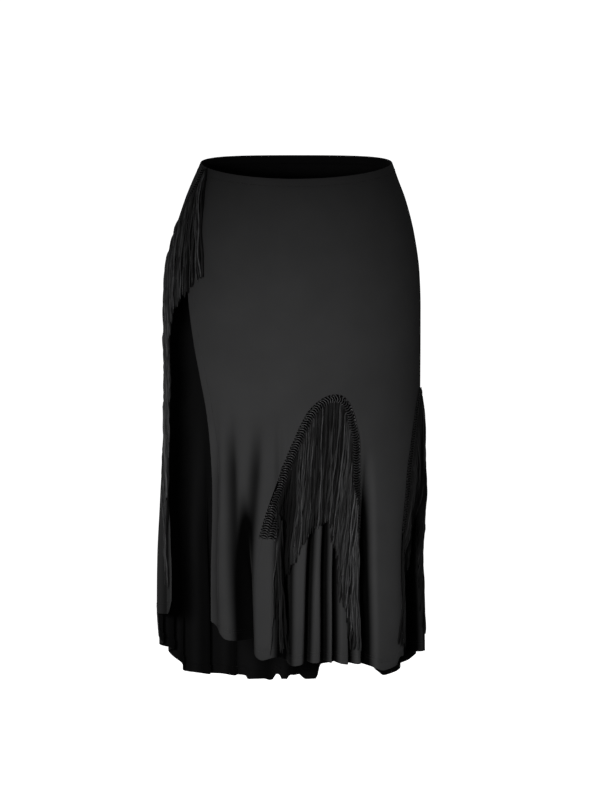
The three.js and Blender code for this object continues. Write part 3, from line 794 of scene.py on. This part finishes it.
def wire(name, points, facing=None, values=()):
    """A row of points joined by edges, or several rows of the same length."""
    rows = points if points.ndim == 3 else points[None]
    count, length = rows.shape[:2]
    at = np.arange(count * length).reshape(count, length)
    edges = np.stack([at[:, :-1], at[:, 1:]], -1).reshape(-1, 2)
    mesh = bpy.data.meshes.new(name)
    spots = [tuple(p) for p in rows.reshape(-1, 3)]
    mesh.from_pydata(spots, [tuple(map(int, e)) for e in edges], [])
    if facing is not None:
        layer = mesh.attributes.new("facing", "FLOAT_VECTOR", "POINT")
        layer.data.foreach_set("vector", facing.reshape(-1))
    for key, value in values:
        layer = mesh.attributes.new(key, "FLOAT", "POINT")
        layer.data.foreach_set("value", value.reshape(-1))
    return add_object(name, mesh)


def grown(name, base, tree, inputs):
    """Runs a geometry tree on a wire and keeps its result as a plain mesh."""
    modifier = base.modifiers.new("grow", "NODES")
    modifier.node_group = tree
    for identifier, value in inputs:
        modifier[identifier] = value
    bpy.context.view_layer.update()
    ready = base.evaluated_get(bpy.context.evaluated_depsgraph_get())
    mesh = bpy.data.meshes.new_from_object(ready)
    mesh.name = name
    base.modifiers.remove(modifier)
    bpy.data.objects.remove(base)
    return add_object(name, mesh)


gimp_tree, gimp_inputs = braid_tree()


def sew_braid(name, path, outer_side, shine=1.5, painted_shade=0.0):
    angle, z = path
    normal = cloth_normal(angle, z)
    shape = [(-0.5, 0.0), (0.5, 0.0), (0.54, 0.35), (0.5, 0.8), (0.25, 1.0), (0.0, 1.05),
             (-0.25, 1.0), (-0.5, 0.8), (-0.54, 0.35)]
    rings = []
    for across, up in shape:
        edge = beside(angle, z, across * CORE_WIDTH - outer_side * CORE_SHIFT)
        rings.append(cloth(*edge) + cloth_normal(*edge) * (BRAID_LIFT + up * BRAID_THICKNESS))
    rings = np.stack(rings, 1)
    tape = sweep(name + "_tape", rings, gimp_core)
    centre_line = cloth(angle, z) + normal * (BRAID_LIFT + BRAID_THICKNESS * 0.75)
    yarns = grown(name + "_yarns", wire("yarn_path", centre_line, normal), gimp_tree,
                  [(gimp_inputs["Outer Side"], outer_side), (gimp_inputs["Material"], gimp)])
    spots = np.empty(len(yarns.data.vertices) * 3)
    yarns.data.vertices.foreach_get("co", spots)
    x, _, low = spots.reshape(-1, 3).T
    # Low on the front arch's right leg the yarns' tone fades to the tape's: painted shade from the
    # deep fold and the cords over them.
    shaded_share = painted_shade * ease(ARCH_TOP - low, 0.075, 0.13) * ease(x, 0.055, 0.075)
    for piece, tone in ((tape, 0.2), (yarns, shine - (shine - 0.2) * shaded_share)):
        mark_folds(piece.data)
        mark_tone(piece.data, tone)
        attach(piece, "root")
    return tape, yarns


front_path = arch_path(FRONT_ARCH, left_leg)
side_path = arch_path(SIDE_ARCH, side_leg)
rear_path = slit_path()
front_tape, front_yarns = sew_braid("front_braid", front_path, 1.0, painted_shade=1.0)
# The side braid's yarns get a third of the tone: painted shade where the skirt turns away from the
# light.
side_tape, side_yarns = sew_braid("side_braid", side_path, 1.0, shine=0.5)
slit_tape, slit_yarns = sew_braid("slit_braid", rear_path, -1.0)

# the braid's cut end is turned back beside itself at the front arch's left foot
TURNED_END = 0.034
TURNED_ASIDE = 0.0092
turned_rows = int(BRAID_ROWS * TURNED_END / path_steps(*front_path)[3][-1])
turned_path = beside(front_path[0][1:turned_rows], front_path[1][1:turned_rows],
                     TURNED_ASIDE)
end_tape, end_yarns = sew_braid("front_braid_end", turned_path, -1.0)


# The fringe is black twisted cord that hangs free from the braid's lower edge in several layers.
# The cords are uneven by a few millimetres, wave a little and gather into loose bundles.

FRINGE_DROP = 0.158
SLIT_DROP = 0.144
FRINGE_UNEVEN = 0.008
FOOT_FAN = 0.0028
CORD_ROOT_LIFT = 0.0012
CORD_GATHER = 0.0018  # a bundle's tips move aside by this much
CORD_STRAY = 0.0013  # one cord's
CORD_RIPPLE = 0.0007
RIPPLE_LENGTH = 0.06
CORD_WAVES = [  # size, longest and shortest period, and whether a bundle shares it
    (0.0010, 0.16, 0.09, True), (0.0005, 0.11, 0.05, False), (0.0003, 0.045, 0.025, False),
]
CORD_RADIUS = 0.00100
CORD_POINTS = 26
CORD_SIDES = 5
CORD_PITCH = 0.00105
BUNDLE_WIDTH = 0.0046

cord = yarn_material("black_cord", (0.012, 0.012, 0.0124), 0.48, 0.0020, 0.25, 0.2)


def capture(tree, curve, **values):
    """Keeps values with a curve's points, and returns the curve's and the values' sockets."""
    kept = add_node(tree, "GeometryNodeCaptureAttribute")
    feed(tree, kept.inputs["Geometry"], curve)
    for name, value in values.items():
        kept.capture_items.new("FLOAT", name)
        feed(tree, kept.inputs[name], value)
    return kept.outputs


def cord_tree():
    """Skins each wire as a round cord and keeps the turn of its plies as an attribute."""
    tree, sockets, size, path = growing_tree("hanging_cords", [("Sides", CORD_SIDES)])
    thick = named(tree, "thick", "FLOAT")
    sized = add_node(tree, "GeometryNodeSetCurveRadius", curve=path, radius=thick)
    along, around = (add_node(tree, "GeometryNodeSplineParameter") for _ in range(2))
    strand = capture(tree, sized.outputs["Curve"], Reach=along.outputs["Length"])
    turn = calculate(tree, "MULTIPLY", around.outputs["Factor"], 2 * math.pi)
    ring = add_node(tree, "GeometryNodeCurvePrimitiveCircle", radius=1.0, resolution=size["Sides"])
    ring = capture(tree, ring.outputs["Curve"], Ahead=calculate(tree, "COSINE", turn),
                   Aside=calculate(tree, "SINE", turn))
    skin = add_node(tree, "GeometryNodeCurveToMesh", curve=strand["Geometry"],
                    profile_curve=ring["Geometry"], fill_caps=True)
    if "Scale" in skin.inputs:
        feed(tree, skin.inputs["Scale"], thick)
    noted = add_node(tree, "GeometryNodeStoreNamedAttribute", data_type="FLOAT_VECTOR",
                     domain="POINT", geometry=skin.outputs["Mesh"],
                     value=vector(tree, ring["Ahead"], ring["Aside"], strand["Reach"]))
    noted.inputs["Name"].default_value = "ply"
    finish_tree(tree, size, noted.outputs["Geometry"])
    return tree, sockets["Material"]


cords, cords_material = cord_tree()


def hang_fringe(name, path, side, seed, drop, root_at, lean_at, settle_at, keep_at, shade_at,
                lifts, tones, bow=1.0, bundle_width=BUNDLE_WIDTH):
    """Hangs cords of one length, drop, from one edge of a braid.

    For a root's angle and height, root_at says how far beyond the tape's edge it starts, in
    metres, lean_at gives its cord's lean along the cloth, settle_at how deep it may lie in the
    folds below, keep_at the share of cords kept, and shade_at how much tone painted shade leaves.
    lifts are the least lift off the cloth, the depth of the layers and the lift at the tips;
    tones are the darkest and the lightest cords' tone, and how few of them are light; the light
    ones, in the front layer of a bundle, carry painted highlight and the dark ones painted shade.
    A bow below 1 makes the cords lean most near their roots.
    """
    random = np.random.default_rng(seed)
    start = root_at(*path)
    edge_angle, edge_z = beside(*path, side * (TAPE_WIDTH / 2 - 0.001 + start))
    out_angle, out_z = beside(*path, side * (TAPE_WIDTH / 2 + 0.0008 + start))
    reach = path_steps(out_angle, out_z)[3]
    count = int(reach[-1] / CORD_PITCH)
    spread = (np.arange(count) + 0.5) / count * reach[-1]
    spread += random.uniform(-0.4, 0.4, count) * CORD_PITCH
    kept = keep_at(np.interp(spread, reach, out_angle), np.interp(spread, reach, out_z))
    spread = spread[random.uniform(0, 1, count) < kept]
    count = len(spread)
    pick = lambda values: np.interp(spread, reach, values)[:, None]
    uneven = spread + 0.002 * np.sin(spread * 190 + seed) + 0.001 * np.sin(spread * 430)
    bundle = np.floor(uneven / bundle_width).astype(int)
    bundles = bundle.max() + 2
    # A cord's shine peaks in a bundle's middle, where it also lies in the front layer: its tone
    # gets painted highlight there and painted shade at the bundle's edges and behind, with a random
    # spread.
    shine = np.sin(math.pi * (uneven / bundle_width - bundle)) ** 2
    shine = shine * random.uniform(0.35, 1, bundles)[bundle] * random.uniform(0.5, 1, count)
    layer = 0.7 * shine[:, None] + 0.3 * random.uniform(0, 1, count)[:, None]
    length = drop - FRINGE_UNEVEN * random.uniform(0, 1, count)[:, None] ** 1.5
    way = np.linspace(0, 1, CORD_POINTS)[None, :]
    down = way * length
    free = ease(way, 0.0, 0.25)
    wave = 0.0
    for size, longest, shortest, shared in CORD_WAVES:
        phase = random.uniform(0, 2 * math.pi, bundles if shared else count)
        period = random.uniform(shortest, longest, bundles if shared else count)
        if shared:
            phase, period = phase[bundle], period[bundle]
        wave = wave + size * np.sin(2 * math.pi * down / period[:, None] + phase[:, None])
    gather = random.uniform(-1, 1, bundles)[bundle][:, None] * CORD_GATHER * way
    lean = lean_at(pick(out_angle), pick(out_z)) * way ** bow
    fan = CORD_STRAY + FOOT_FAN * ease(ARCH_TOP - pick(out_z), 0.12, 0.18)
    lean = lean + random.normal(0, 1, count)[:, None] * fan * way
    sway = (wave * free + gather + lean) / per_degree(pick(out_angle), ARCH_TOP)
    angle = pick(out_angle) + sway
    z = pick(out_z) - down
    phase = random.uniform(0, 6.28, count)[:, None]
    ripple = CORD_RIPPLE * np.sin(2 * math.pi * down / RIPPLE_LENGTH + phase)
    first, deep, tip = lifts
    lift = first + (layer * deep + ripple * free) * ease(way, -0.02, 0.12)
    lift = lift + (tip - lift) * 0.7 * ease(way, 0.3, 1.0)
    settle = settle_at(pick(out_angle), pick(out_z)) * ease(way, 0.0, 0.3)
    lift = lift - np.minimum(sunk(angle, z), settle)
    points = ridge_form(angle, z) + outward(angle, z) * lift[..., None]
    root = cloth(pick(edge_angle), pick(edge_z))
    root = root + cloth_normal(pick(edge_angle), pick(edge_z)) * (BRAID_LIFT + CORD_ROOT_LIFT)
    points = np.concatenate([root, points], 1)
    thick = np.ones((count, CORD_POINTS + 1)) * CORD_RADIUS
    thick *= random.uniform(0.8, 1.25, count)[:, None]
    thick[:, -1] *= 0.55
    tone = tones[0] + (tones[1] - tones[0]) * shine[:, None] ** tones[2]
    tone = tone * shade_at(pick(out_angle), pick(out_z)) * np.ones((count, CORD_POINTS + 1))
    base = wire("cord_paths", points, values=[("thick", thick), ("tone", tone)])
    piece = grown(name, base, cords, [(cords_material, cord)])
    mark_folds(piece.data)
    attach(piece, "root")
    return piece


LEAN = [  # drop of a cord's root below the apex, its lean on the left leg and on the right leg
    (0.00, -0.006, -0.012),
    (0.04, -0.008, -0.018),
    (0.08, -0.008, -0.016),
    (0.10, -0.012, -0.016),
    (0.12, -0.010, -0.015),
    (0.15, 0.001, -0.012),
    (0.17, 0.003, -0.008),
    (0.19, 0.003, -0.003),
]
left_lean, right_lean = smooth_curves(LEAN)


def beyond(apex, angle):
    """How far a root is on the right leg: 0 on the left one, 1 on the right one."""
    return np.clip((angle - apex) * float(per_degree(apex, ARCH_TOP)) / 0.030 + 0.5, 0, 1)


def arch_lean(apex):
    """All the cords lean into or along the arch, those under the upright leg most."""
    def lean(angle, z):
        share, drop = beyond(apex, angle), ARCH_TOP - z
        return left_lean(drop) * (1 - share) + right_lean(drop) * share
    return lean


def side_lean(angle, z):
    """The side arch's cords are swept forward at its foot."""
    foot = ease(ARCH_TOP - z, 0.08, 0.16) * (1 - beyond(SIDE_ARCH, angle))
    return arch_lean(SIDE_ARCH)(angle, z) - 0.022 * foot


def slit_root(angle, z):
    """At the waist the braid's end is turned, and the cords start further forward."""
    return 0.009 * ease(z, -0.060, 0.0)


def front_root(angle, z):
    """At the left foot the cords start lower than the tape, on the right leg they cover it."""
    share, drop = beyond(FRONT_ARCH, angle), ARCH_TOP - z
    return 0.013 * ease(drop, 0.145, 0.165) * (1 - share) - 0.008 * ease(drop, 0.11, 0.15) * share


def front_settle(angle, z):
    """Cords from the slanting leg fall into the deep fold beside it."""
    low = ease(ARCH_TOP - z, 0.070, 0.088) * ease(z - ARCH_TOP, -0.178, -0.155)
    return 0.004 + 0.024 * low * (1 - beyond(FRONT_ARCH, angle))


def front_keep(angle, z):
    return 1 - 0.6 * ease(ARCH_TOP - z, 0.075, 0.10) * (1 - beyond(FRONT_ARCH, angle))


def front_shade(angle, z):
    """The cords in the deep fold get painted shade for the fold's shadow, but not those that hang
    from the foot.
    """
    low = ease(ARCH_TOP - z, 0.066, 0.082) * ease(z - ARCH_TOP, -0.168, -0.150)
    return 1 - 0.85 * low * (1 - beyond(FRONT_ARCH, angle))


SLIT_LEAN = [  # height of a cord's root and its lean
    (0.000, 0.050), (-0.012, 0.042), (-0.030, 0.030), (-0.070, 0.020), (-0.110, 0.018),
    (-0.150, 0.018), (-0.200, 0.015), (-0.300, 0.014), (-0.380, 0.018), (-0.440, 0.026),
]
slit_lean, = smooth_curves(SLIT_LEAN)


def everywhere(value):
    return lambda angle, z: value + 0 * angle


front_cords = hang_fringe("front_fringe_cords", front_path, 1, 11, FRINGE_DROP, front_root,
                          arch_lean(FRONT_ARCH), front_settle, front_keep, front_shade,
                          (0.0016, 0.0050, 0.0040), (0.05, 3.4, 1.5))
# The side arch's cords get far lower tones than the front's: painted shade where the skirt turns
# from the light.
side_cords = hang_fringe("side_fringe_cords", side_path, 1, 23, FRINGE_DROP, everywhere(0),
                         side_lean, everywhere(0.012), everywhere(1), everywhere(1),
                         (0.0028, 0.0050, 0.0032), (0.02, 0.6, 1.5))
slit_cords = hang_fringe("slit_fringe_cords", rear_path, -1, 37, SLIT_DROP, slit_root,
                         lambda angle, z: slit_lean(z), everywhere(0.003), everywhere(1),
                         everywhere(1), (0.0044, 0.0080, 0.0070), (0.05, 4.5, 2.0), bow=0.66,
                         bundle_width=0.0042)
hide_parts("front_arch_fringe")
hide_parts("side_arch_fringe")
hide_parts("slit_fringe")


# The turned edges are held by rows of small black stitches: two rows along the hems, as a
# twin needle leaves them, and one along the waist and the slit's front edge.

STITCH_PITCH = 0.0030
STITCH_LENGTH = 0.0021
STITCH_RADIUS = 0.00026
HEM_ROWS = (0.0100, 0.0135)
EDGE_ROW = 0.0095

thread = yarn_material("black_thread", (0.028, 0.028, 0.0285), 0.7, 0.0009, 0.2, 0.1)


def stitch_tree():
    """Short rounded stitches, evenly spaced along each wire and lying on the cloth."""
    tree, sockets, size, line = growing_tree("stitch_rows", [
        ("Pitch", STITCH_PITCH), ("Length", STITCH_LENGTH), ("Radius", STITCH_RADIUS)])
    ahead = calculate(tree, "MULTIPLY", size["Length"], 0.5)
    behind = calculate(tree, "MULTIPLY", ahead, -1.0)
    arc = add_node(tree, "GeometryNodeCurveQuadraticBezier", resolution=3,
                   start=vector(tree, behind, 0.0, 0.0),
                   middle=vector(tree, 0.0, 0.0, size["Radius"]),
                   end=vector(tree, ahead, 0.0, 0.0))
    rows = placed_along(tree, line, size["Pitch"],
                        swept(tree, arc.outputs["Curve"], size["Radius"], 4))
    finish_tree(tree, size, rows)
    return tree, sockets["Material"]


stitches, stitches_material = stitch_tree()


def stitch(name, angle, z):
    """Sews one row of stitches along a line of angles and heights on the cloth."""
    normal = cloth_normal(angle, z)
    row = wire("stitch_line", cloth(angle, z) + normal * 0.0001, normal)
    piece = grown(name, row, stitches, [(stitches_material, thread)])
    mark_folds(piece.data)
    mark_tone(piece.data, 1.0)
    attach(piece, "root")
    return piece


def hem_line(first, last, above):
    angle = np.linspace(first, last, 900)
    return angle, hem_height(angle) + above


SLIT_HEM = (float(slit_front(-0.61)), float(slit_rear(-0.588)) + 360)
front_stitches, side_stitches, back_stitches = [], [], []
for count, above in enumerate(HEM_ROWS, 1):
    front_stitches += [stitch(f"front_hem_stitches_{count}", *hem_line(SLIT_HEM[0] + 3, 53, above))]
    side_stitches += [stitch(f"side_hem_stitches_{count}", *hem_line(55.5, 97, above))]
    back_stitches += [stitch(f"back_hem_stitches_{count}", *hem_line(99.5, SLIT_HEM[1] - 3, above))]
waist = np.linspace(float(slit_front(0.0)) + 3, SIDE_ARCH - 0.5, 500)
front_stitches += [stitch("front_waist_stitches", waist, waist_height(waist) - EDGE_ROW)]
waist = np.linspace(SIDE_ARCH + 0.5, float(slit_rear(0.0)) + 357, 500)
back_stitches += [stitch("back_waist_stitches", waist, waist_height(waist) - EDGE_ROW)]
down = np.linspace(-0.012, -0.600, 500)
front_stitches += [stitch("slit_edge_stitches",
                          slit_front(down) + EDGE_ROW / per_degree(slit_front(down), down), down)]


# The studio: a pale round floor that curves up into a backdrop all round, a soft light from the
# front, a low one aimed at the lower right, and soft light from behind so that the back reads too.

FLOOR_HEIGHT = -1.15
FLAT_REACH = 6.0
BEND = 3.0
WALL_TOP = 9.0


profile = [(share * FLAT_REACH, FLOOR_HEIGHT) for share in (0.0, 0.5, 1.0)]
profile += [(FLAT_REACH + BEND * math.sin(a), FLOOR_HEIGHT + BEND - BEND * math.cos(a))
            for a in np.linspace(0.1, math.pi / 2, 12)]
profile += [(FLAT_REACH + BEND, WALL_TOP)]
turns = np.linspace(0, 2 * math.pi, 96, endpoint=False)
rim = [(r * math.cos(a), r * math.sin(a), z) for r, z in profile[1:] for a in turns]
ring = lambda i, j: 1 + i * len(turns) + j % len(turns)
steps = range(len(turns))
sweep_mesh = bpy.data.meshes.new("floor")
sweep_mesh.from_pydata(
    [(0, 0, FLOOR_HEIGHT)] + rim, [],
    [(0, ring(0, j), ring(0, j + 1)) for j in steps]
    + [(ring(i, j), ring(i + 1, j), ring(i + 1, j + 1), ring(i, j + 1))
       for i in range(len(profile) - 2) for j in steps])
sweep_mesh.shade_smooth()
pale, _, shader = new_material("pale_floor")
shader.inputs["Base Color"].default_value = (0.9, 0.9, 0.9, 1)
shader.inputs["Roughness"].default_value = 0.9
shader.inputs["Emission Color"].default_value = (1, 1, 1, 1)
shader.inputs["Emission Strength"].default_value = 1.0
sweep_mesh.materials.append(pale)
floor = add_object("floor", sweep_mesh)
floor.visible_diffuse = False
floor.visible_glossy = False


def aim_light(name, light, place, aim):
    holder = add_object(name, light)
    holder.location = place
    holder.rotation_euler = (Vector(aim) - Vector(place)).to_track_quat("-Z", "Y").to_euler()
    return holder


def soft_light(name, place, aim, size, power):
    light = bpy.data.lights.new(name, "AREA")
    light.shape = "RECTANGLE"
    light.size, light.size_y = size
    light.energy = power
    aim_light(name, light, place, aim).visible_glossy = False


def spotlight(name, place, aim, spread, softness, power):
    light = bpy.data.lights.new(name, "SPOT")
    light.energy = power
    light.spot_size = math.radians(spread)
    light.spot_blend = 1.0
    light.shadow_soft_size = softness
    aim_light(name, light, place, aim)


spotlight("key", (-0.42, -2.2, -0.12), (0, -0.1, -0.45), 29, 0.15, 190)
spotlight("low_fill", (-0.25, -2.2, -0.50), (0.19, -0.1, -0.57), 12, 0.12, 60)
soft_light("back_left", (-1.2, 2.6, 0.6), (0, 0, -0.4), (1.0, 1.4), 16)
soft_light("back_right", (1.5, 2.4, 0.4), (0, 0, -0.4), (1.0, 1.4), 14)

world = bpy.data.worlds.new("studio")
bpy.context.scene.world = world
world.use_nodes = True
world.node_tree.nodes["Background"].inputs["Color"].default_value = (1, 1, 1, 1)
world.node_tree.nodes["Background"].inputs["Strength"].default_value = 0.12

scene = bpy.context.scene
scene.view_settings.view_transform = "Standard"
camera_data = bpy.data.cameras.new("camera")
camera_data.lens = 148.41
camera_data.sensor_width = 36
camera = add_object("camera", camera_data)
camera.location = (0.0096, -4.5, 0.08)
aim = Vector((0.0096, 0, -0.325))
camera.rotation_euler = (aim - camera.location).to_track_quat("-Z", "Y").to_euler()
camera_data.clip_end = 40
scene.camera = camera
